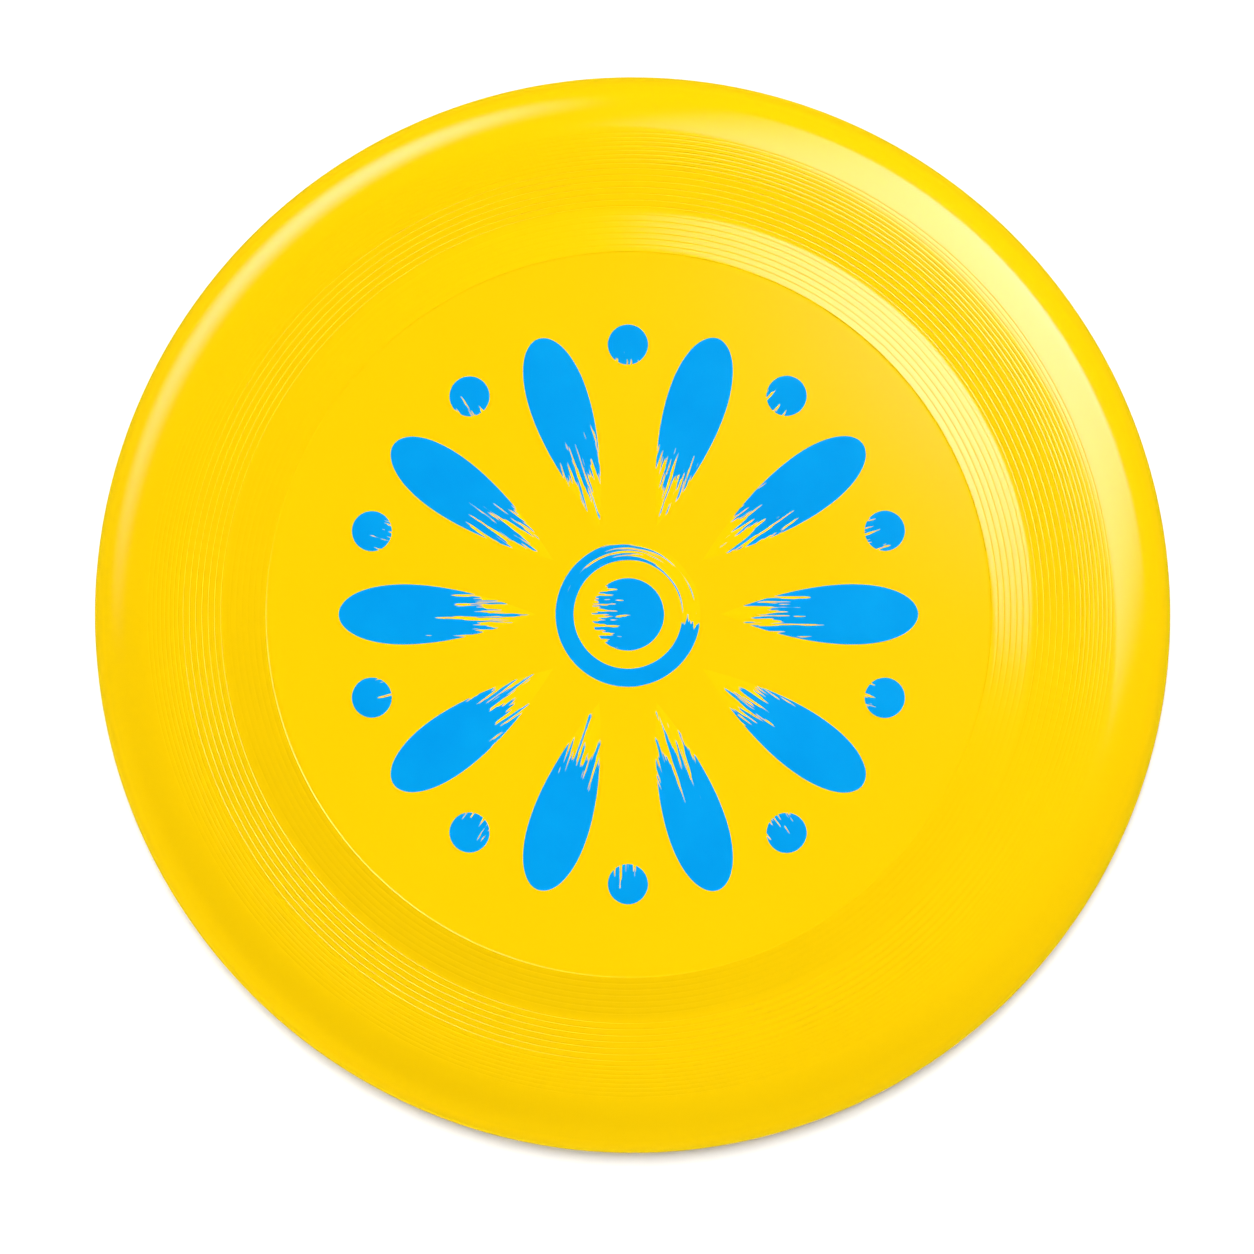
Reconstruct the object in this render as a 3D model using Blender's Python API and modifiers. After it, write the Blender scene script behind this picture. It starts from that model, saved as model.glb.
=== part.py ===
# Flying disc: one moulded plate with flight rings and a rounded rim, and the ink print on its top face.
# The disc lies on its rim foot at z = 0, with its spin axis along +Z.

from math import cos, pi, radians, sin, tan

import bpy
from mathutils import Vector

# Disc, in metres
DISC_DIAMETER = 0.273
DISC_HEIGHT = 0.032
PLATE_WALL = 0.0019
PLATE_RECESS = 0.00045
EDGE_FLANK = 0.0002

# Flight rings: the lands between the grooves of three bands, from the plate's edge outwards
CONE_GROOVES = 6
CONE_PITCH = 0.00154
CONE_MARGIN = 0.00077
CONE_GROOVE_DEPTH = 0.00005
CONE_GROOVE_WIDTH = 0.00044
CONE_SLOPE = radians(18)
TERRACE_GROOVES = 7
TERRACE_PITCH = 0.00158
TERRACE_GROOVE_DEPTH = 0.00009
TERRACE_GROOVE_WIDTH = 0.00044
TERRACE_SLOPE = radians(4)
BROW_GROOVES = 8
BROW_PITCH = 0.0011
BROW_GROOVE_DEPTH = 0.00006
BROW_GROOVE_WIDTH = 0.0004
BROW_SLOPE = radians(14)

# Shoulder, the soft crease below it, and the rim down to its flat foot
SHOULDER_RADIUS = 0.0197
CREASE_SLOPE = radians(56)
RIM_SLOPE = radians(50)
RIM_REACH = 0.0041
RIM_FULLNESS = 0.75
WIDEST_HEIGHT = 0.005
FOOT_ROUND = 0.0024

# Inside of the rim
RIM_WIDTH = 0.006
LIP_RADIUS = 0.002
BORE_DRAFT = radians(2)
BORE_HEIGHT = 0.0105
INNER_FULLNESS = 1.0

# Mark of the mould's gate, under the middle of the plate
GATE_RADIUS = 0.004
GATE_DEPTH = 0.0004
GATE_FLANK = 0.0003

# Print: a hub and its ring, petals round them, and a dot between each pair of petals
PRINT_GAP = 0.0003
PRINT_THICKNESS = 0.0001
PRINT_MARGIN = 0.018
HUB_RADIUS = 0.009
HUB_RING_GAP = 0.0045
HUB_RING_WIDTH = 0.0045
PETAL_COUNT = 10
PETAL_GAP = 0.005
PETAL_SPACING = 0.02
DOT_RADIUS = 0.005

# Facets
TURN_STEPS = 60
SHOULDER_STEPS = 8
RIM_STEPS = 6
FOOT_STEPS = 4
LIP_STEPS = 3
INNER_STEPS = 7
PETAL_POINTS = 28
DOT_POINTS = 18
HUB_POINTS = 36
MERGE_DISTANCE = 0.00001

# Radii and heights that the driving sizes fix, from the rim inwards
rim_radius = DISC_DIAMETER / 2
brow_end = rim_radius - RIM_REACH - SHOULDER_RADIUS * (sin(CREASE_SLOPE) - sin(BROW_SLOPE))
brow_width = BROW_GROOVES * BROW_PITCH
terrace_width = TERRACE_GROOVES * TERRACE_PITCH
cone_width = CONE_GROOVES * CONE_PITCH + 2 * CONE_MARGIN
cone_start = Vector((brow_end - brow_width - terrace_width - cone_width, DISC_HEIGHT))
plate_edge = cone_start - Vector((EDGE_FLANK, PLATE_RECESS))
print_radius = plate_edge.x - PRINT_MARGIN

# Slope of each grooved band where it starts and where it ends
cone_slopes = (CONE_SLOPE, CONE_SLOPE)
terrace_slopes = (TERRACE_SLOPE, TERRACE_SLOPE)
brow_slopes = (TERRACE_SLOPE, BROW_SLOPE)


def band_point(start, width, slopes, reach):
    """Point at a reach along a band, which falls away at its first slope and turns evenly to its second."""
    share = reach / width
    fall = tan(slopes[0]) * (1 - share / 2) + tan(slopes[1]) * share / 2
    return start + Vector((reach, -reach * fall))


def grooved_band(start, width, slopes, grooves, pitch, depth, groove_width):
    """A band's lands and V grooves, one groove to a pitch, in the middle of the band's width."""
    margin = (width - grooves * pitch) / 2
    points = []
    for index in range(grooves):
        middle = margin + (index + 0.5) * pitch
        points.append(band_point(start, width, slopes, middle - groove_width / 2))
        points.append(band_point(start, width, slopes, middle) - Vector((0, depth)))
        points.append(band_point(start, width, slopes, middle + groove_width / 2))
    points.append(band_point(start, width, slopes, width))
    return points


def tangent_corner(start, start_slope, end, end_slope):
    """Where the line that falls from start meets the line that falls to end."""
    from_start = Vector((cos(start_slope), -sin(start_slope)))
    to_end = Vector((cos(end_slope), -sin(end_slope)))
    reach = (end - start).cross(to_end) / from_start.cross(to_end)
    return start + from_start * reach


def arc(start, radius, slope_in, slope_out, steps):
    """Points after start on the arc that falls away at slope_in and ends at slope_out."""
    points = []
    for step in range(1, steps + 1):
        slope = slope_in + (slope_out - slope_in) * step / steps
        points.append(start + radius * Vector((sin(slope) - sin(slope_in), cos(slope) - cos(slope_in))))
    return points


def conic(start, corner, end, fullness, steps):
    """Points after start on the conic that leaves start and reaches end along the lines through corner."""
    points = []
    for step in range(1, steps + 1):
        share = step / steps
        weights = ((1 - share) ** 2, 2 * share * (1 - share) * fullness, share**2)
        blend = start * weights[0] + corner * weights[1] + end * weights[2]
        points.append(blend / sum(weights))
    return points


def wall_below(line, wall):
    """The line moved down by the wall, measured square to it, with mitred corners."""
    moved = []
    for index, here in enumerate(line):
        before = here - line[index - 1] if index else line[1] - here
        after = line[index + 1] - here if index < len(line) - 1 else before
        along = (before.normalized() + after.normalized()).normalized()
        down = Vector((along.y, -along.x))
        moved.append(here + down * wall / along.dot(before.normalized()))
    return moved


def top_profile():
    """Plate, its raised edge, the three grooved bands and the shoulder, from the axis out to the crease."""
    points = [Vector((0, plate_edge.y)), plate_edge, cone_start]
    points += grooved_band(
        points[-1], cone_width, cone_slopes, CONE_GROOVES, CONE_PITCH, CONE_GROOVE_DEPTH, CONE_GROOVE_WIDTH
    )
    points += grooved_band(
        points[-1], terrace_width, terrace_slopes,
        TERRACE_GROOVES, TERRACE_PITCH, TERRACE_GROOVE_DEPTH, TERRACE_GROOVE_WIDTH,
    )
    points += grooved_band(
        points[-1], brow_width, brow_slopes, BROW_GROOVES, BROW_PITCH, BROW_GROOVE_DEPTH, BROW_GROOVE_WIDTH
    )
    return points + arc(points[-1], SHOULDER_RADIUS, BROW_SLOPE, CREASE_SLOPE, SHOULDER_STEPS)


def rim_profile(crease):
    """Rim, its rounded underside, flat foot, inner lip and bore, down the outside and up the inside."""
    widest = Vector((rim_radius, WIDEST_HEIGHT))
    corner = crease + RIM_REACH * Vector((1, -tan(RIM_SLOPE)))
    points = conic(crease, corner, widest, RIM_FULLNESS, RIM_STEPS)
    foot_start = Vector((rim_radius - FOOT_ROUND, 0))
    points += conic(widest, Vector((rim_radius, 0)), foot_start, cos(pi / 4), FOOT_STEPS)
    bore_foot = Vector((rim_radius - RIM_WIDTH, LIP_RADIUS))
    foot_end = Vector((bore_foot.x + LIP_RADIUS, 0))
    points.append(foot_end)
    points += conic(foot_end, Vector((bore_foot.x, 0)), bore_foot, cos(pi / 4), LIP_STEPS)
    points.append(bore_foot + BORE_HEIGHT * Vector((-tan(BORE_DRAFT), 1)))
    return points


def underside_profile(bore_top):
    """Inner shoulder, the bands' smooth underside, the plate's underside and the gate mark, in to the axis."""
    plate_end = Vector((cone_start.x + PLATE_RECESS / tan(CONE_SLOPE), plate_edge.y))
    terrace_start = band_point(cone_start, cone_width, cone_slopes, cone_width)
    brow_start = band_point(terrace_start, terrace_width, terrace_slopes, terrace_width)
    brow_middle = band_point(brow_start, brow_width, brow_slopes, brow_width / 2)
    brow_finish = band_point(brow_start, brow_width, brow_slopes, brow_width)
    line = [Vector((0, plate_edge.y)), plate_end, terrace_start, brow_start, brow_middle, brow_finish]
    under = wall_below(line, PLATE_WALL)
    corner = tangent_corner(under[-1], BROW_SLOPE, bore_top, pi / 2 - BORE_DRAFT)
    shoulder = conic(under[-1], corner, bore_top, INNER_FULLNESS, INNER_STEPS)
    points = shoulder[-2::-1] + under[:0:-1]
    ceiling = under[0].y
    points.append(Vector((GATE_RADIUS + GATE_FLANK, ceiling)))
    points.append(Vector((GATE_RADIUS, ceiling + GATE_DEPTH)))
    points.append(Vector((0, ceiling + GATE_DEPTH)))
    return points


def make_material(name, color, roughness):
    material = bpy.data.materials.new(name)
    material.use_nodes = True
    shader = material.node_tree.nodes["Principled BSDF"]
    shader.inputs["Base Color"].default_value = (*color, 1)
    shader.inputs["Roughness"].default_value = roughness
    shader.inputs["Metallic"].default_value = 0
    return material


def make_disc(collection, material):
    """The moulding: its half section turned about the axis."""
    section = top_profile()
    section += rim_profile(section[-1])
    section += underside_profile(section[-1])
    mesh = bpy.data.meshes.new("disc_body")
    edges = [(index, index + 1) for index in range(len(section) - 1)]
    mesh.from_pydata([(point.x, 0, point.y) for point in section], edges, [])
    mesh.materials.append(material)
    disc = bpy.data.objects.new("disc_body", mesh)
    collection.objects.link(disc)
    turn = disc.modifiers.new("Turn", "SCREW")
    turn.axis = "Z"
    turn.steps = TURN_STEPS
    turn.render_steps = TURN_STEPS
    turn.use_merge_vertices = True
    turn.merge_threshold = MERGE_DISTANCE
    turn.use_smooth_shade = True
    return disc


def circle_outline(radius, count):
    return [(radius * cos(2 * pi * k / count), radius * sin(2 * pi * k / count)) for k in range(count)]


def petal_outline(foot, length, width):
    """Teardrop along +X: a fine tail at its foot, widest two thirds of the way out, and a round end."""
    widest = max(sin(a) * sin(a / 2) for a in (pi * k / PETAL_POINTS for k in range(PETAL_POINTS)))
    outline = []
    for k in range(PETAL_POINTS):
        angle = 2 * pi * k / PETAL_POINTS
        side = sin(angle) * abs(sin(angle / 2)) / widest
        outline.append((foot + length * (1 - cos(angle)) / 2, -side * width / 2))
    return outline


def film_curve(name, outlines, material):
    """Flat ink film bounded by the outlines, the first one outside and any other a hole."""
    curve = bpy.data.curves.new(name, "CURVE")
    curve.dimensions = "2D"
    curve.fill_mode = "BOTH"
    curve.extrude = PRINT_THICKNESS / 2
    curve.materials.append(material)
    for outline in outlines:
        spline = curve.splines.new("POLY")
        spline.points.add(len(outline) - 1)
        for point, (x, y) in zip(spline.points, outline):
            point.co = (x, y, 0, 1)
        spline.use_cyclic_u = True
    return curve


def place_film(collection, disc, name, curve, place=(0, 0), turn=0):
    """One film lying over the plate, carried by the disc."""
    film = bpy.data.objects.new(name, curve)
    film.location = (*place, plate_edge.y + PRINT_GAP + PRINT_THICKNESS / 2)
    film.rotation_euler.z = turn
    film.parent = disc
    collection.objects.link(film)


def make_print(collection, disc, material):
    ring_inner = HUB_RADIUS + HUB_RING_GAP
    ring_outer = ring_inner + HUB_RING_WIDTH
    petal_foot = ring_outer + PETAL_GAP
    petal_length = print_radius - petal_foot
    widest_radius = petal_foot + petal_length * 2 / 3
    petal_width = 2 * pi * widest_radius / PETAL_COUNT - PETAL_SPACING
    dot_circle = print_radius - DOT_RADIUS

    hub = film_curve("print_hub", [circle_outline(HUB_RADIUS, HUB_POINTS)], material)
    rings = [circle_outline(ring_outer, HUB_POINTS), circle_outline(ring_inner, HUB_POINTS)]
    hub_ring = film_curve("print_hub_ring", rings, material)
    petal = film_curve("print_petal", [petal_outline(petal_foot, petal_length, petal_width)], material)
    dot = film_curve("print_dot", [circle_outline(DOT_RADIUS, DOT_POINTS)], material)

    place_film(collection, disc, "print_hub", hub)
    place_film(collection, disc, "print_hub_ring", hub_ring)
    for index in range(PETAL_COUNT):
        petal_turn = 2 * pi * index / PETAL_COUNT
        dot_turn = petal_turn + pi / PETAL_COUNT
        dot_place = (dot_circle * cos(dot_turn), dot_circle * sin(dot_turn))
        place_film(collection, disc, f"print_petal_{index + 1:02d}", petal, turn=petal_turn)
        place_film(collection, disc, f"print_dot_{index + 1:02d}", dot, place=dot_place, turn=dot_turn)


def main():
    for obj in list(bpy.data.objects):
        bpy.data.objects.remove(obj, do_unlink=True)
    collection = bpy.data.collections.new("flying_disc")
    bpy.context.scene.collection.children.link(collection)
    yellow_plastic = make_material("yellow_plastic", (0.96, 0.64, 0.001), 0.15)
    blue_ink = make_material("blue_ink", (0.0014, 0.32, 0.92), 0.36)
    disc = make_disc(collection, yellow_plastic)
    make_print(collection, disc, blue_ink)


main()
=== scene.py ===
import bpy
import numpy as np
from mathutils import Matrix, Vector


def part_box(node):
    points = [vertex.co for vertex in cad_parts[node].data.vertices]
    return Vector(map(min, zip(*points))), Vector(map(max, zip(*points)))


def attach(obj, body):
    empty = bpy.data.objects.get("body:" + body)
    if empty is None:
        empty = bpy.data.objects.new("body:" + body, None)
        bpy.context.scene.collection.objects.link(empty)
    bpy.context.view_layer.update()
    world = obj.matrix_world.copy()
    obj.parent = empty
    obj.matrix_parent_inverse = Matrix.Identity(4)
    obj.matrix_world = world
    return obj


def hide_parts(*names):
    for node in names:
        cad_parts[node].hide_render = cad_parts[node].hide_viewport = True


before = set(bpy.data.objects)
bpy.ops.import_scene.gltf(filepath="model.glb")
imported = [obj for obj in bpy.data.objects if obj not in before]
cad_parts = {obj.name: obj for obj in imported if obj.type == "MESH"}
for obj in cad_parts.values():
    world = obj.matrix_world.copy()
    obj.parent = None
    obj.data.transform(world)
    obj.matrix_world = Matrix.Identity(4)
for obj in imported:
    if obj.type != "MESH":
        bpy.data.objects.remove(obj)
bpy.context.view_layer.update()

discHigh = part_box("disc_body")[1]
scene = bpy.context.scene
scene.view_settings.view_transform = "Standard"
print("frame loaded:", len(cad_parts), "nodes")


# Mesh helpers

sharpAngle = 30  # degrees between two faces, past which their edge is shaded sharp
strokeMap = "strokes"  # name of the UV map that follows the ink's brush strokes


def meshObject(name, points, corners, cornerCount, material):
    # points is n x 3; corners lists every face's vertices in turn, cornerCount how many each face has
    mesh = bpy.data.meshes.new(name)
    mesh.vertices.add(len(points))
    mesh.vertices.foreach_set("co", np.ascontiguousarray(points, np.float32).ravel())
    mesh.loops.add(len(corners))
    mesh.loops.foreach_set("vertex_index", np.ascontiguousarray(corners, np.int32))
    mesh.polygons.add(len(cornerCount))
    starts = np.concatenate(([0], np.cumsum(cornerCount)[:-1]))
    mesh.polygons.foreach_set("loop_start", np.ascontiguousarray(starts, np.int32))
    mesh.update(calc_edges=True)
    mesh.validate()
    mesh.shade_smooth()
    mesh.set_sharp_from_angle(angle=np.radians(sharpAngle))
    mesh.materials.append(material)
    piece = bpy.data.objects.new(name, mesh)
    scene.collection.objects.link(piece)
    return piece


def carryRound(name, outline, profile, material, centre=(0, 0), closedProfile=False):
    # Surface of two parameters: point(profile i, outline j) = centre + outline j * reach i, at height i.
    # A profile that starts and ends on the axis is closed there by two fans of triangles.
    reach, height = np.asarray(profile, float).T
    if not closedProfile:
        reach, height = reach[1:-1], height[1:-1]
    rows, columns = len(reach), len(outline)
    x = centre[0] + reach[:, None] * outline[None, :, 0]
    y = centre[1] + reach[:, None] * outline[None, :, 1]
    z = np.repeat(height[:, None], columns, 1)
    points = np.stack((x, y, z), 2).reshape(-1, 3)
    here = np.arange(rows * columns).reshape(rows, columns)
    after = np.roll(here, -1, 1)
    below, belowAfter = np.roll(here, -1, 0), np.roll(after, -1, 0)
    quads = np.stack((here, below, belowAfter, after), 2)
    if not closedProfile:
        quads = quads[:-1]
    quads = quads.reshape(-1, 4)
    corners, cornerCount = quads.ravel(), np.full(len(quads), 4)
    if not closedProfile:
        poles = np.array([[*centre, profile[0][1]], [*centre, profile[-1][1]]])
        points = np.concatenate((points, poles))
        first, last = rows * columns, rows * columns + 1
        topFan = np.stack((np.full(columns, first), here[0], after[0]), 1)
        bottomFan = np.stack((np.full(columns, last), after[-1], here[-1]), 1)
        fans = np.concatenate((topFan, bottomFan))
        corners = np.concatenate((corners, fans.ravel()))
        cornerCount = np.concatenate((cornerCount, np.full(len(fans), 3)))
    return meshObject(name, points, corners, cornerCount, material)


def cornerPoints(piece):
    # Every face corner's place in the mesh, n x 3
    places = np.empty(len(piece.data.vertices) * 3, np.float32)
    piece.data.vertices.foreach_get("co", places)
    index = np.empty(len(piece.data.loops), np.int32)
    piece.data.loops.foreach_get("vertex_index", index)
    return places.reshape(-1, 3)[index]


def mapStroke(piece, along, across):
    # UV map of a brush stroke: along runs from 0 at its dry end to 1, and across is in metres
    layer = piece.data.uv_layers.new(name=strokeMap)
    layer.data.foreach_set("uv", np.stack((along, across), 1).astype(np.float32).ravel())


def circleOutline(count):
    # Unit circle, counted anticlockwise from +X
    turn = np.linspace(0, 2 * np.pi, count, endpoint=False)
    return np.stack((np.cos(turn), np.sin(turn)), 1)


def wayAt(angle):
    # Unit vector that points away from the axis, at an angle from +X
    return np.array([np.cos(angle), np.sin(angle)])


# Node helpers

def addNode(tree, kind, inputs=(), **settings):
    # An input is another node's socket, which gets linked, or a plain value
    node = tree.nodes.new(kind)
    for key, value in settings.items():
        setattr(node, key, value)
    for key, value in dict(inputs).items():
        if isinstance(value, bpy.types.NodeSocket):
            tree.links.new(value, node.inputs[key])
        else:
            node.inputs[key].default_value = value
    return node


def mathNode(tree, operation, first, second=0.0, third=0.0):
    return addNode(tree, "ShaderNodeMath", {0: first, 1: second, 2: third}, operation=operation).outputs[0]


def mapRange(tree, value, fromLow, fromHigh, toLow, toHigh):
    # Smooth step from one range to the other, held at both ends
    inputs = {"Value": value, "From Min": fromLow, "From Max": fromHigh, "To Min": toLow, "To Max": toHigh}
    return addNode(tree, "ShaderNodeMapRange", inputs, interpolation_type="SMOOTHSTEP").outputs["Result"]


def mixColor(tree, share, first, second):
    # The node's sockets 6 and 7 take the two colours, and its output 2 gives the mixed one
    return addNode(tree, "ShaderNodeMix", {"Factor": share, 6: first, 7: second}, data_type="RGBA").outputs[2]


def splitVector(tree, vector):
    return addNode(tree, "ShaderNodeSeparateXYZ", {0: vector}).outputs


def noise(tree, vector, scale, detail, roughness):
    inputs = {"Vector": vector, "Scale": scale, "Detail": detail, "Roughness": roughness}
    return addNode(tree, "ShaderNodeTexNoise", inputs).outputs["Fac"]


def bumpNormal(tree, height, distance):
    inputs = {"Height": height, "Strength": 1.0, "Distance": distance}
    return addNode(tree, "ShaderNodeBump", inputs).outputs[0]


def newMaterial(name):
    material = bpy.data.materials.new(name)
    material.use_nodes = True
    tree = material.node_tree
    return material, tree, tree.nodes["Principled BSDF"]


# Grain that the plastic and the ink share: slow clouding and orange peel

grainForm = {
    "cloud": (3.0, 0.55),  # detail and roughness of the noise
    "peel": (1.5, 0.45),
    "cloudRange": (0.3, 0.7),  # of the clouding, over which a finish's roughness takes its whole spread
}


def makeGrainGroup(form):
    group = bpy.data.node_groups.new("mouldGrain", "ShaderNodeTree")
    group.interface.new_socket("Vector", in_out="INPUT", socket_type="NodeSocketVector")
    for name in ("Cloud Scale", "Peel Scale"):
        group.interface.new_socket(name, in_out="INPUT", socket_type="NodeSocketFloat")
    for name in ("Cloud", "Peel"):
        group.interface.new_socket(name, in_out="OUTPUT", socket_type="NodeSocketFloat")
    given = addNode(group, "NodeGroupInput").outputs
    cloud = noise(group, given["Vector"], given["Cloud Scale"], *form["cloud"])
    peel = noise(group, given["Vector"], given["Peel Scale"], *form["peel"])
    addNode(group, "NodeGroupOutput", {"Cloud": cloud, "Peel": peel})
    return group


grainGroup = makeGrainGroup(grainForm)


def placeGrain(tree, finish):
    inputs = {
        "Vector": addNode(tree, "ShaderNodeTexCoord").outputs["Object"],
        "Cloud Scale": finish["cloudScale"],
        "Peel Scale": finish["peelScale"],
    }
    return addNode(tree, "ShaderNodeGroup", inputs, node_tree=grainGroup).outputs


def cloudedColor(tree, grain, finish):
    return mixColor(tree, grain["Cloud"], finish["deep"], finish["light"])


def roughnessSpread(tree, grain, finish):
    half = finish["roughnessSpread"] / 2
    return mapRange(tree, grain["Cloud"], *grainForm["cloudRange"], -half, half)


# Yellow polyethylene

yellowFinish = {
    "deep": (0.958, 0.596, 0.0008, 1),
    "light": (0.987, 0.629, 0.0012, 1),
    "roughness": 0.13,
    "roughnessSpread": 0.03,
    "undersideRoughness": 0.16,  # added on the hidden side, which its half of the mould leaves duller
    "undersideFacing": (-0.05, -0.35),  # rise of the normal where that starts, and where it is full
    "cloudScale": 14.0,
    "peelScale": 620.0,
    "peelHeight": 0.0000025,
}


def makeYellowPlastic(finish):
    material, tree, shader = newMaterial("yellowPlastic")
    grain = placeGrain(tree, finish)
    tree.links.new(cloudedColor(tree, grain, finish), shader.inputs["Base Color"])
    rise = splitVector(tree, addNode(tree, "ShaderNodeTexCoord").outputs["Normal"])["Z"]
    under = mapRange(tree, rise, *finish["undersideFacing"], 0.0, finish["undersideRoughness"])
    change = mathNode(tree, "ADD", roughnessSpread(tree, grain, finish), under)
    tree.links.new(mathNode(tree, "ADD", change, finish["roughness"]), shader.inputs["Roughness"])
    tree.links.new(bumpNormal(tree, grain["Peel"], finish["peelHeight"]), shader.inputs["Normal"])
    return material


yellowPlastic = makeYellowPlastic(yellowFinish)
print("yellow plastic made")


# Blue screen ink, laid in strokes that run dry

inkFinish = {
    "deep": (0.0004, 0.282, 0.742, 1),
    "light": (0.0008, 0.376, 0.826, 1),
    "roughness": 0.36,
    "roughnessSpread": 0.08,
    "specular": 0.08,
    "cloudScale": 55.0,
    "peelScale": 2600.0,
    "peelHeight": 0.000004,
    # A stroke's dry end shows the plastic between bristle marks
    "bristles": (3.0, 900.0),  # marks to a stroke's length, and to a metre across
    "markNoise": (2.5, 0.6),  # detail and roughness of the marks
    "markEdge": 0.012,  # half the softness of a mark's edge
    "wetShare": 0.72,  # of the stroke's length, from its dry end, where it is fully wet
    "startShare": 0.06,  # past a stroke's full length, over which its start is ragged
    "wetEdge": 0.80,  # height of the marks' noise that bares the plastic, where the ink is wet
    "dryEdge": 0.36,  # and at the dry end
}


def bareShare(tree, finish):
    # 1 where the marks' noise stands above the edge that bares the plastic, and 0 where ink covers it
    stroke = addNode(tree, "ShaderNodeUVMap", uv_map=strokeMap).outputs["UV"]
    stretch = {0: stroke, 1: (*finish["bristles"], 0)}
    stretched = addNode(tree, "ShaderNodeVectorMath", stretch, operation="MULTIPLY").outputs[0]
    marks = noise(tree, stretched, 1.0, *finish["markNoise"])
    along = splitVector(tree, stroke)["X"]
    dryEnd = mapRange(tree, along, 0.0, finish["wetShare"], finish["dryEdge"], finish["wetEdge"])
    start = mapRange(tree, along, 1.0, 1 + finish["startShare"], finish["wetEdge"], finish["dryEdge"])
    above = mathNode(tree, "SUBTRACT", marks, mathNode(tree, "MINIMUM", dryEnd, start))
    return mapRange(tree, above, -finish["markEdge"], finish["markEdge"], 0.0, 1.0)


def makeBlueInk(finish, plastic):
    material, tree, shader = newMaterial("blueInk")
    grain = placeGrain(tree, finish)
    bare = bareShare(tree, finish)
    color = mixColor(tree, bare, cloudedColor(tree, grain, finish), plastic["light"])
    tree.links.new(color, shader.inputs["Base Color"])
    inkRoughness = mathNode(tree, "ADD", roughnessSpread(tree, grain, finish), finish["roughness"])
    gloss = mathNode(tree, "MULTIPLY", bare, plastic["roughness"] - finish["roughness"])
    tree.links.new(mathNode(tree, "ADD", inkRoughness, gloss), shader.inputs["Roughness"])
    shader.inputs["Specular IOR Level"].default_value = finish["specular"]
    height = mathNode(tree, "SUBTRACT", grain["Peel"], bare)
    tree.links.new(bumpNormal(tree, height, finish["peelHeight"]), shader.inputs["Normal"])
    return material


blueInk = makeBlueInk(inkFinish, yellowFinish)
print("blue ink made")


# The moulding

discForm = {
    "segments": 256,  # round the disc
    "plateRecess": 0.00012,
    "plateSteps": 6,
    "edgeFlank": 0.0002,
    "edgeRound": 0.00006,
    "edgeLead": 0.0006,  # level stretch beside the plate's rounded edge
    "edgeSteps": 5,
    # Grooved bands from the plate outwards, with a plain lead at both ends. Depths are those of the first
    # and the last groove, and slopes are in degrees where the band starts and ends.
    "cone": {"grooves": 6, "pitch": 0.00154, "lead": 0.00154, "width": 0.0007,
             "depths": (0.00005, 0.00004), "slopes": (18, 18)},
    "terrace": {"grooves": 7, "pitch": 0.00158, "lead": 0.00079, "width": 0.0003,
                "depths": (0.000075, 0.000085), "slopes": (4, 4)},
    "brow": {"grooves": 8, "pitch": 0.0011, "lead": 0.00055, "width": 0.0005,
             "depths": (0.000075, 0.00005), "slopes": (4, 14)},
    "grooveSteps": (0.25, 0.5, 0.75, 1.0, 1.15),  # shares of a groove's half width; past 1 is the land
    "shoulderRadius": 0.0197,
    "shoulderSteps": 28,
    "creaseSlope": 56,  # of the shoulder where the rim starts
    "rimSlope": 50,  # of the rim below that crease
    "rimReach": 0.0041,
    "rimFullness": 0.75,
    "rimSteps": 30,
    "widestHeight": 0.005,
    "footRound": 0.0024,
    "footSteps": 12,
    "rimWidth": 0.006,
    "lipRadius": 0.002,
    "lipSteps": 10,
    "boreDraft": 2,
    "boreHeight": 0.0105,
    "boreSteps": 3,
    "innerSteps": 24,
    "plateWall": 0.0019,
    "underRecess": 0.00045,  # of the underside's line, which the wall is measured from
    "browSteps": 6,
    "underEase": 0.0015,
    "easeSteps": 6,
    "gateRadius": 0.004,
    "gateDepth": 0.0004,
    "gateFlank": 0.0003,
    "gateLand": 0.024,  # radius of the plain ring of faces round the gate mark
}


def slopeOf(degrees):
    return np.tan(np.radians(degrees))


def bandWidth(band):
    return (band["grooves"] - 1) * band["pitch"] + 2 * band["lead"]


def bandLine(start, width, slopes, share):
    # The band falls away at its first slope and turns evenly to its second
    fall = slopeOf(slopes[0]) * (1 - share / 2) + slopeOf(slopes[1]) * share / 2
    return np.stack((start[0] + width * share, start[1] - width * share * fall), -1)


def groovedBand(start, band, grooveSteps):
    # Lands on the band's line with grooves between: depth below the line = depth * (1 + cos(pi u)) / 2,
    # where u is the distance from the groove's middle as a share of its half width, and 1 past it
    shares = np.array(grooveSteps)
    across = np.concatenate((-shares[::-1], [0.0], shares))
    middles = band["lead"] + np.arange(band["grooves"]) * band["pitch"]
    places = np.append(middles[:, None] + across * band["width"] / 2, bandWidth(band))
    depths = np.linspace(*band["depths"], band["grooves"])
    sinks = depths[:, None] * (1 + np.cos(np.pi * np.clip(across, -1, 1))) / 2
    points = bandLine(start, bandWidth(band), band["slopes"], places / bandWidth(band))
    points[:, 1] -= np.append(sinks, 0.0)
    return points


def conicBlend(start, corner, end, steps, fullness=1.0):
    # Conic from start to end along the tangents through corner: weights (1-t)^2, 2 t (1-t) fullness and t^2
    share = np.linspace(0, 1, steps + 1)[1:, None]
    weights = np.concatenate(((1 - share) ** 2, 2 * share * (1 - share) * fullness, share ** 2), 1)
    points = weights @ np.array([start, corner, end])
    return points / weights.sum(1, keepdims=True)


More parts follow.
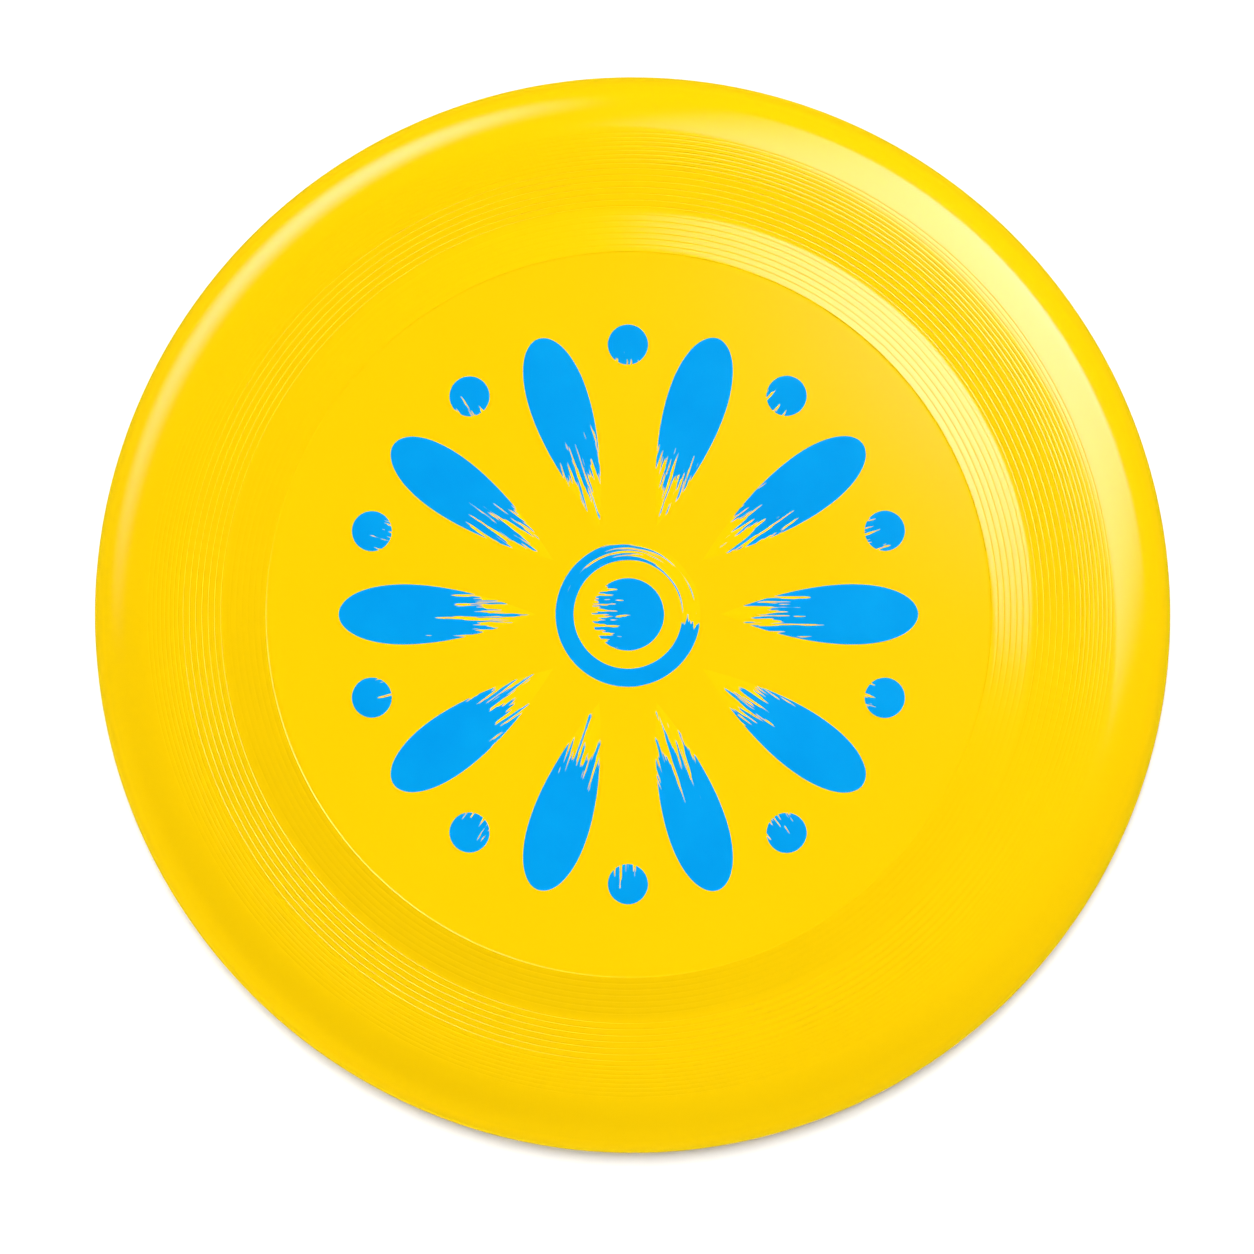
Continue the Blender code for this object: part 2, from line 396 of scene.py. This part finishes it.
def tangentCorner(start, startSlope, end, endDraft):
    # Where the line falling from start at a slope meets the line through end that leans in by a draft
    along = np.array([1, -slopeOf(startSlope)])
    down = np.array([slopeOf(endDraft), -1])
    reach = np.linalg.solve(np.stack((along, -down), 1), np.subtract(end, start))[0]
    return start + along * reach


def topProfile(form, rimRadius, height):
    # From the axis over the plate, its step, the bands and the shoulder's arc to the crease.
    # The bands' places are worked out inwards from the rim.
    bands = [form["cone"], form["terrace"], form["brow"]]
    turn = np.radians(np.linspace(form["brow"]["slopes"][1], form["creaseSlope"], form["shoulderSteps"] + 1))
    arc = np.stack((np.sin(turn), np.cos(turn)), 1)
    shoulder = form["shoulderRadius"] * (arc - arc[0])
    browRadius = rimRadius - form["rimReach"] - shoulder[-1, 0]
    coneStart = np.array([browRadius - sum(bandWidth(band) for band in bands), height])
    plateEdge = coneStart - [form["edgeFlank"], form["plateRecess"]]
    plateEnd = plateEdge[0] - form["edgeRound"]
    plateReach = np.append(np.linspace(0, plateEnd - form["edgeLead"], form["plateSteps"] + 1), plateEnd)
    plate = np.stack((plateReach, np.full(len(plateReach), plateEdge[1])), 1)
    flank = (plateEdge + coneStart) / 2
    foot = conicBlend(plate[-1], plateEdge, flank, form["edgeSteps"])
    brinkEnd = bandLine(coneStart, form["edgeRound"], form["cone"]["slopes"], np.array(1.0))
    brink = conicBlend(flank, coneStart, brinkEnd, form["edgeSteps"])
    parts = [plate, foot, brink]
    starts = [coneStart]
    for band in bands:
        parts.append(groovedBand(starts[-1], band, form["grooveSteps"]))
        starts.append(parts[-1][-1])
    parts.append(starts[-1] + shoulder[1:])
    return np.concatenate(parts), plateEdge, starts[:-1]


def rimProfile(form, rimRadius, crease):
    # From the crease round the rim, its foot and its lip to the top of the bore
    widest = np.array([rimRadius, form["widestHeight"]])
    rimCorner = crease + form["rimReach"] * np.array([1, -slopeOf(form["rimSlope"])])
    rim = conicBlend(crease, rimCorner, widest, form["rimSteps"], form["rimFullness"])
    # Under its widest line the rim turns in by a quarter ellipse to its flat foot
    turn = np.linspace(0, np.pi / 2, form["footSteps"] + 1)[1:]
    footStart = rimRadius - form["footRound"]
    foot = np.stack((footStart + form["footRound"] * np.cos(turn), widest[1] * (1 - np.sin(turn))), 1)
    boreFoot = np.array([rimRadius - form["rimWidth"], form["lipRadius"]])
    footEnd = np.array([boreFoot[0] + form["lipRadius"], 0])
    lip = conicBlend(footEnd, np.array([boreFoot[0], 0]), boreFoot, form["lipSteps"], np.cos(np.pi / 4))
    boreTop = boreFoot + [-form["boreHeight"] * slopeOf(form["boreDraft"]), form["boreHeight"]]
    bore = np.linspace(boreFoot, boreTop, form["boreSteps"] + 1)[1:]
    return np.concatenate((rim, foot, footEnd[None], lip, bore))


def underProfile(form, height, bandStarts, boreTop):
    # From the bore's top back to the axis: the bands' lines moved in by the wall, square to each
    coneStart, terraceStart, browStart = bandStarts
    brow = form["brow"]
    level = height - form["underRecess"]
    ceiling = level - form["plateWall"]
    coneFoot = np.array([coneStart[0] + form["underRecess"] / slopeOf(form["cone"]["slopes"][0]), level])
    browShares = np.linspace(0, 1, form["browSteps"] + 1)[1:]
    browLine = bandLine(browStart, bandWidth(brow), brow["slopes"], browShares)
    line = np.concatenate(([[0, level], coneFoot, terraceStart, browStart], browLine))
    step = np.diff(line, axis=0)
    step /= np.linalg.norm(step, axis=1, keepdims=True)
    before, after = np.concatenate((step[:1], step)), np.concatenate((step, step[-1:]))
    along = before + after
    along /= np.linalg.norm(along, axis=1, keepdims=True)
    down = np.stack((along[:, 1], -along[:, 0]), 1)
    under = line + down * form["plateWall"] / np.sum(along * before, 1, keepdims=True)
    innerCorner = tangentCorner(under[-1], brow["slopes"][1], boreTop, form["boreDraft"])
    inner = conicBlend(under[-1], innerCorner, boreTop, form["innerSteps"])
    parts = [inner[-2::-1], under[:2:-1]]
    # The bends at the terrace and at the cone are eased over a short length to both sides
    for bend in (2, 1):
        outer = under[bend] + step[bend] * form["underEase"]
        nearer = under[bend] - step[bend - 1] * form["underEase"]
        parts.append(np.concatenate((outer[None], conicBlend(outer, under[bend], nearer, form["easeSteps"]))))
    gate = form["gateRadius"]
    gateLevel = ceiling + form["gateDepth"]
    gateReach = [form["gateLand"], gate + form["gateFlank"], gate, 0]
    parts.append(np.stack((gateReach, [ceiling, ceiling, gateLevel, gateLevel]), 1))
    return np.concatenate(parts)


def makeDisc(form):
    rimRadius, height = discHigh.x, discHigh.z
    top, plateEdge, bandStarts = topProfile(form, rimRadius, height)
    rim = rimProfile(form, rimRadius, top[-1])
    profile = np.concatenate((top, rim, underProfile(form, height, bandStarts, rim[-1])))
    disc = carryRound("mouldedDisc", circleOutline(form["segments"]), profile, yellowPlastic)
    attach(disc, "root")
    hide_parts("disc_body")
    print("moulded disc:", len(profile), "rows,", 2 * form["segments"] * (len(profile) - 2), "triangles")
    return disc, plateEdge


mouldedDisc, plateEdge = makeDisc(discForm)


# The print

printForm = {
    "margin": 0.018,
    "hubRadius": 0.009,
    "hubPoints": 96,
    "hubRingGap": 0.0045,
    "hubRingWidth": 0.0045,
    "hubRingPoints": 128,
    "petals": 10,
    "petalGap": 0.005,
    "petalSpacing": 0.020,
    "petalMiddle": 0.6,  # share of the petal's length from its foot, where its film is centred
    "petalPoints": 160,
    "dotRadius": 0.005,
    "dotPoints": 64,
    "lift": 0.000004,
    "thickness": 0.00003,
    "innerShare": 0.5,  # of the outline, where a row of faces lies inside it
    "edgeShare": 0.985,  # of the outline, where the film's edge starts to round off
    "edgeDrops": (0.2, 0.7),  # of the thickness, half way out from there and at the outline
    "markShift": 0.137,  # across the bristle marks, from one stroke to the next
    "dabLength": 0.026,  # of the short strokes that the hub and the dots are cut from
}


def filmProfile(form):
    # Ink as a low mesa: level on top, rounded at its edge and closed below
    low = plateEdge[1] + form["lift"]
    high = low + form["thickness"]
    inner, edge = form["innerShare"], form["edgeShare"]
    halfway, outermost = (high - form["thickness"] * drop for drop in form["edgeDrops"])
    return [(0, high), (inner, high), (edge, high), ((1 + edge) / 2, halfway), (1, outermost),
            (1, low), (inner, low), (0, low)]


def petalOutline(length, width, middle, count):
    # Teardrop along +X, about its middle: x = (1 - cos a) / 2 - middle, y = sin a * |sin(a / 2)|, both scaled
    turn = np.linspace(0, 2 * np.pi, count, endpoint=False)
    side = np.sin(turn) * np.abs(np.sin(turn / 2))
    return np.stack((length * ((1 - np.cos(turn)) / 2 - middle), -side / side.max() * width / 2), 1)


def turned(outline, angle):
    return outline @ np.array([[np.cos(angle), np.sin(angle)], [-np.sin(angle), np.cos(angle)]])


def strokeStraight(piece, start, way, length, shift):
    # along = distance from start along the way, over the length, across = distance to its left;
    # the shift keeps one stroke's marks unlike the next's
    offset = cornerPoints(piece)[:, :2] - start
    mapStroke(piece, offset @ way / length, offset @ np.array([-way[1], way[0]]) + shift)


def strokeRound(piece, shift):
    # along = the angle from +X as a share of a full turn, stretched a little past 1, across = the radius;
    # the turn's seam falls between faces
    corners = cornerPoints(piece)
    sides = np.empty(len(piece.data.polygons), np.int32)
    piece.data.polygons.foreach_get("loop_total", sides)
    middles = np.empty(len(sides) * 3, np.float32)
    piece.data.polygons.foreach_get("center", middles)
    middles = np.repeat(middles.reshape(-1, 3), sides, 0)
    faceTurn = np.arctan2(middles[:, 1], middles[:, 0]) % (2 * np.pi)
    lead = np.arctan2(corners[:, 1], corners[:, 0]) - faceTurn
    lead = (lead + np.pi) % (2 * np.pi) - np.pi
    along = (faceTurn + lead) / (2 * np.pi) * (1 + inkFinish["startShare"])
    mapStroke(piece, along, np.hypot(corners[:, 0], corners[:, 1]) + shift)


def layInk(piece, node):
    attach(piece, "root")
    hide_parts(node)
    return piece


def makeHub(form, film):
    hub = carryRound("inkHub", circleOutline(form["hubPoints"]) * form["hubRadius"], film, blueInk)
    dab = form["dabLength"]
    strokeStraight(hub, np.array([-dab / 2, 0]), np.array([1, 0]), dab, 0)
    return layInk(hub, "print_hub")


def makeHubRing(form, film, inner, outer):
    high, low = film[0][1], film[-1][1]
    profile = [(inner, high), (outer, high), (outer, low), (inner, low)]
    outline = circleOutline(form["hubRingPoints"])
    ring = carryRound("inkHubRing", outline, profile, blueInk, closedProfile=True)
    strokeRound(ring, form["markShift"])
    return layInk(ring, "print_hub_ring")


def makePetal(form, film, index, foot, length):
    # The teardrop is widest two thirds of the way out, and the spacing is kept free there
    width = 2 * np.pi * (foot + length * 2 / 3) / form["petals"] - form["petalSpacing"]
    angle = 2 * np.pi * index / form["petals"]
    way = wayAt(angle)
    outline = turned(petalOutline(length, width, form["petalMiddle"], form["petalPoints"]), angle)
    centre = way * (foot + form["petalMiddle"] * length)
    petal = carryRound(f"inkPetal{index + 1:02d}", outline, film, blueInk, centre)
    strokeStraight(petal, way * foot, way, length, form["markShift"] * (2 * index + 2))
    return layInk(petal, f"print_petal_{index + 1:02d}")


def makeDot(form, film, index, printRadius):
    # Dots stand half way between the petals, at the print's edge
    way = wayAt(2 * np.pi * index / form["petals"] + np.pi / form["petals"])
    centre = way * (printRadius - form["dotRadius"])
    outline = circleOutline(form["dotPoints"]) * form["dotRadius"]
    dot = carryRound(f"inkDot{index + 1:02d}", outline, film, blueInk, centre)
    dab = form["dabLength"]
    strokeStraight(dot, centre - way * dab / 2, way, dab, form["markShift"] * (2 * index + 3))
    return layInk(dot, f"print_dot_{index + 1:02d}")


def makePrint(form):
    film = filmProfile(form)
    printRadius = plateEdge[0] - form["margin"]
    ringInner = form["hubRadius"] + form["hubRingGap"]
    ringOuter = ringInner + form["hubRingWidth"]
    petalFoot = ringOuter + form["petalGap"]
    pieces = [makeHub(form, film), makeHubRing(form, film, ringInner, ringOuter)]
    for index in range(form["petals"]):
        pieces.append(makePetal(form, film, index, petalFoot, printRadius - petalFoot))
        pieces.append(makeDot(form, film, index, printRadius))
    print("print laid:", len(pieces), "pieces")
    return pieces


printPieces = makePrint(printForm)


# Floor, light and camera

studio = {
    "floorSize": 12.0,
    "floorColor": (0.4, 0.4, 0.4, 1),
    # What reflections see besides the softboxes: a dim room above, and below it a floor warmed by the disc
    "roomAbove": (0.02, 0.02, 0.02, 1),
    "roomBelow": (0.8, 0.6, 0.02, 1),
    "horizonBlend": 0.1,  # rise to either side of the horizon, over which one turns into the other
    # Lamps for colour and shade: azimuth, polar angle and spread in degrees, and the brightness of a white
    # face turned to the lamp. The first six light the object alone, and the last two the floor alone.
    "objectLamps": {
        "skyLamp": (0, 0, 178, 0.91),
        "groundLamp": (0, 180, 178, 0.375),
        "keyLamp": (60, 60, 30, 0.46),
        "leftBounce": (180, 105, 30, 0.355),
        "nearBounce": (270, 105, 30, 0.335),
        "underLamp": (0, 180, 60, 0.36),
    },
    "floorLamps": {
        "floorSky": (0, 0, 178, 0.975),
        "floorLamp": (90, 18, 30, 2.6),
    },
    # Softboxes for reflections: azimuth and polar angle of the middle in degrees, where across its width the
    # box is brightest, from -1 to 1, and the share of light that it loses towards its top and bottom
    "softboxes": {
        "keyBox": {"azimuth": 41, "polar": 57.5, "distance": 1.1, "width": 2.1, "height": 1.08,
                   "radiance": 8.5, "brightest": 0.0, "fade": 0.0},
        "sideBox": {"azimuth": 139, "polar": 85, "distance": 1.1, "width": 2.3, "height": 0.92,
                    "radiance": 5.2, "brightest": -0.32, "fade": 1.0},
        "topBox": {"azimuth": 45, "polar": 7.7, "distance": 1.6, "width": 0.4, "height": 0.08,
                   "radiance": 2.9, "brightest": 0.0, "fade": 0.0},
    },
    "boxTint": (1.0, 0.68, 1.0),  # short of green, as the highlights in the photograph are
}


def makeFloor(values):
    half = values["floorSize"] / 2
    material, tree, shader = newMaterial("paleFloor")
    tree.nodes.remove(shader)
    pale = addNode(tree, "ShaderNodeBsdfDiffuse", {"Color": values["floorColor"]})
    # From below, the floor lets the view through to the disc's underside
    clear = addNode(tree, "ShaderNodeBsdfTransparent")
    back = addNode(tree, "ShaderNodeNewGeometry").outputs["Backfacing"]
    shown = addNode(tree, "ShaderNodeMixShader", {0: back, 1: pale.outputs[0], 2: clear.outputs[0]})
    tree.links.new(shown.outputs[0], tree.nodes["Material Output"].inputs["Surface"])
    corners = np.array([[-half, -half, 0], [half, -half, 0], [half, half, 0], [-half, half, 0]])
    floor = meshObject("floor", corners, np.arange(4), np.array([4]), material)
    # The lamps below shine through it, and it stays out of the disc's gloss and bounced light
    floor.visible_diffuse = floor.visible_glossy = floor.visible_shadow = False
    return floor


def hangLight(name, kind, azimuth, polar, distance=1.0):
    # Turned to the origin. A sun's distance makes no difference to its light.
    azimuth, polar = np.radians((azimuth, polar))
    way = Vector((np.sin(polar) * np.cos(azimuth), np.sin(polar) * np.sin(azimuth), np.cos(polar)))
    light = bpy.data.objects.new(name, bpy.data.lights.new(name, kind))
    light.location = way * distance
    light.rotation_euler = (-way).to_track_quat("-Z", "Y").to_euler()
    light.visible_camera = False
    scene.collection.objects.link(light)
    return light


def hangLamps(lamps, receivers):
    # Suns that give colour and shade to the receivers and to nothing else
    chosen = bpy.data.collections.new("lampReceivers")
    for piece in receivers:
        chosen.objects.link(piece)
    for name, (azimuth, polar, spread, level) in lamps.items():
        light = hangLight(name, "SUN", azimuth, polar)
        light.data.angle = np.radians(spread)
        light.data.energy = level * np.pi
        light.data.cycles.use_multiple_importance_sampling = False
        light.visible_glossy = False
        light.light_linking.receiver_collection = chosen


def softbox(name, tint, azimuth, polar, distance, width, height, radiance, brightest, fade):
    # Shows in reflections only. Across the box, strength falls from 1 at its brightest line to 0 at both
    # ends; from its middle to its top and bottom, strength falls from 1 to 1 - fade.
    light = hangLight(name, "AREA", azimuth, polar, distance)
    light.data.shape = "RECTANGLE"
    light.data.size, light.data.size_y = width, height
    light.data.energy = radiance * np.pi * width * height
    light.data.color = tint
    light.visible_diffuse = False
    light.data.use_nodes = True
    tree = light.data.node_tree
    across, along = splitVector(tree, addNode(tree, "ShaderNodeNewGeometry").outputs["Parametric"])[:2]
    left = mathNode(tree, "MULTIPLY_ADD", across, -2 / (1 + brightest), 1.0)
    right = mathNode(tree, "MULTIPLY_ADD", across, 2 / (1 - brightest), -(1 + brightest) / (1 - brightest))
    sideways = mapRange(tree, mathNode(tree, "MAXIMUM", left, right), 0.0, 1.0, 1.0, 0.0)
    offMiddle = mathNode(tree, "ABSOLUTE", mathNode(tree, "MULTIPLY_ADD", along, 2.0, -1.0))
    upDown = mapRange(tree, offMiddle, 0.0, 1.0, 1.0, 1 - fade)
    tree.links.new(mathNode(tree, "MULTIPLY", sideways, upDown), tree.nodes["Emission"].inputs["Strength"])


def makeWorld(values):
    # White to the camera, a dim room to reflections
    world = bpy.data.worlds.new("studio")
    scene.world = world
    world.use_nodes = True
    tree = world.node_tree
    path = addNode(tree, "ShaderNodeLightPath").outputs
    rise = splitVector(tree, addNode(tree, "ShaderNodeTexCoord").outputs["Generated"])["Z"]
    blend = values["horizonBlend"]
    above = mapRange(tree, rise, -blend, blend, 0.0, 1.0)
    room = mixColor(tree, above, values["roomBelow"], values["roomAbove"])
    seen = mathNode(tree, "MAXIMUM", path["Is Camera Ray"], path["Is Transmission Ray"])
    background = tree.nodes["Background"]
    tree.links.new(mixColor(tree, seen, room, (1, 1, 1, 1)), background.inputs["Color"])
    tree.links.new(mathNode(tree, "MAXIMUM", seen, path["Is Glossy Ray"]), background.inputs["Strength"])


cameraPlace = {
    "imageSide": 1254,  # pixels
    "discCentre": (631.25, 614.95),  # pixels
    "discRadius": 536.8,  # pixels
    "outlineHeight": 0.0031,  # of the level in which the disc's circle is framed
    "distance": 1.2,  # from that level
    "sideStep": (0.0345, -0.0063),  # of the camera from the disc's axis
    "sensor": 36.0,  # mm
}


def makeCamera(values):
    # The disc's outline fills the same circle of pixels as in the photograph
    perPixel = discHigh.x / values["discRadius"]
    frameSide = values["imageSide"] * perPixel
    middle = values["imageSide"] / 2
    column, row = values["discCentre"]
    level = values["outlineHeight"]
    aim = Vector(((middle - column) * perPixel, (row - middle) * perPixel, level))
    data = bpy.data.cameras.new("camera")
    data.sensor_width = values["sensor"]
    data.lens = values["sensor"] * values["distance"] / frameSide
    camera = bpy.data.objects.new("camera", data)
    place = Vector((*values["sideStep"], level + values["distance"]))
    back = (place - aim).normalized()
    right = Vector((0, 1, 0)).cross(back).normalized()
    turn = Matrix((right, back.cross(right), back)).transposed()
    camera.matrix_world = Matrix.Translation(place) @ turn.to_4x4()
    scene.collection.objects.link(camera)
    scene.camera = camera


floor = makeFloor(studio)
makeWorld(studio)
for boxName, boxValues in studio["softboxes"].items():
    softbox(boxName, studio["boxTint"], **boxValues)
hangLamps(studio["objectLamps"], printPieces + [mouldedDisc])
hangLamps(studio["floorLamps"], [floor])
makeCamera(cameraPlace)
print("studio set")
